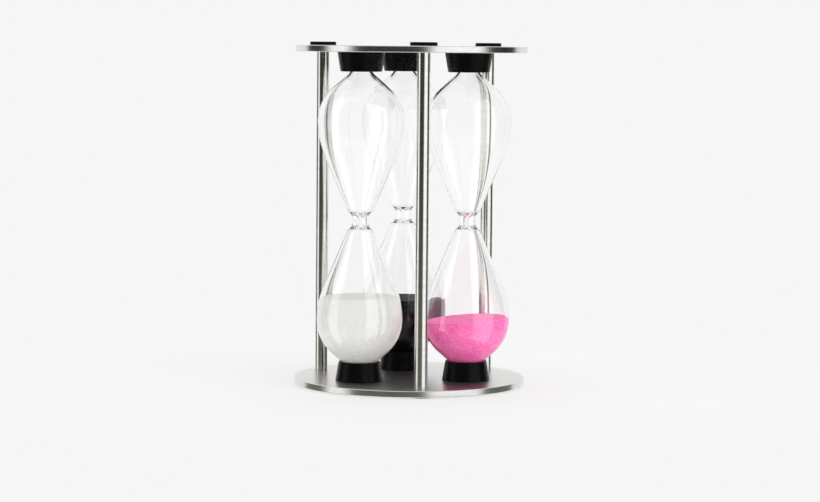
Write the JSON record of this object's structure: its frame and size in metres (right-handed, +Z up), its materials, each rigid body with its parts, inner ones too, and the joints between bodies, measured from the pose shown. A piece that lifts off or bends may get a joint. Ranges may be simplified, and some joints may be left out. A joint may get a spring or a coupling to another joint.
{
  "type": "tea timer",
  "caption": "Tea timer: round steel plates on rods hold sand glasses in rubber cups. Turned over, each glass runs its sand for a different time.",
  "frame": {"origin": "on the stand's axis, on the surface that the base pads stand on", "axes": "+Z up along the rods, -Y towards the front rod"},
  "size_m": [0.09, 0.09, 0.1334],
  "materials": {
    "plate_steel": "brushed, satin",
    "rod_steel": "fine ground",
    "screw_steel": "plain",
    "pad_rubber": "matte",
    "cup_rubber": "satin moulded",
    "plug_rubber": "matte",
    "clear_glass": "clear, blown",
    "white_sand": "fine grain",
    "black_sand": "fine grain",
    "pink_sand": "fine grain"
  },
  "bodies": {
    "stand": {"base_plate": "plate_steel", "top_plate": "plate_steel", "base_screws": "screw_steel", "top_screws": "screw_steel", "rod_front": "rod_steel", "base_pad_front": "pad_rubber", "top_pad_front": "pad_rubber", "rod_right": "rod_steel", "base_pad_right": "pad_rubber", "top_pad_right": "pad_rubber", "rod_left": "rod_steel", "base_pad_left": "pad_rubber", "top_pad_left": "pad_rubber", "lower_cup_white": "cup_rubber", "upper_cup_white": "cup_rubber", "lower_cup_black": "cup_rubber", "upper_cup_black": "cup_rubber", "lower_cup_pink": "cup_rubber", "upper_cup_pink": "cup_rubber"},
    "white_timer": {"glass_white": "clear_glass", "sand_white": "white_sand", "fill_plug_white": "plug_rubber"},
    "black_timer": {"glass_black": "clear_glass", "sand_black": "black_sand", "fill_plug_black": "plug_rubber"},
    "pink_timer": {"glass_pink": "clear_glass", "sand_pink": "pink_sand", "fill_plug_pink": "plug_rubber"}
  },
  "joints": [
    {"name": "white_glass_slide", "type": "slide", "parent": "stand", "child": "white_timer", "axis": [0, 0, 1], "range_m": [0, 0.0028]},
    {"name": "black_glass_slide", "type": "slide", "parent": "stand", "child": "black_timer", "axis": [0, 0, 1], "range_m": [0, 0.0028]},
    {"name": "pink_glass_slide", "type": "slide", "parent": "stand", "child": "pink_timer", "axis": [0, 0, 1], "range_m": [0, 0.0028]}
  ]
}
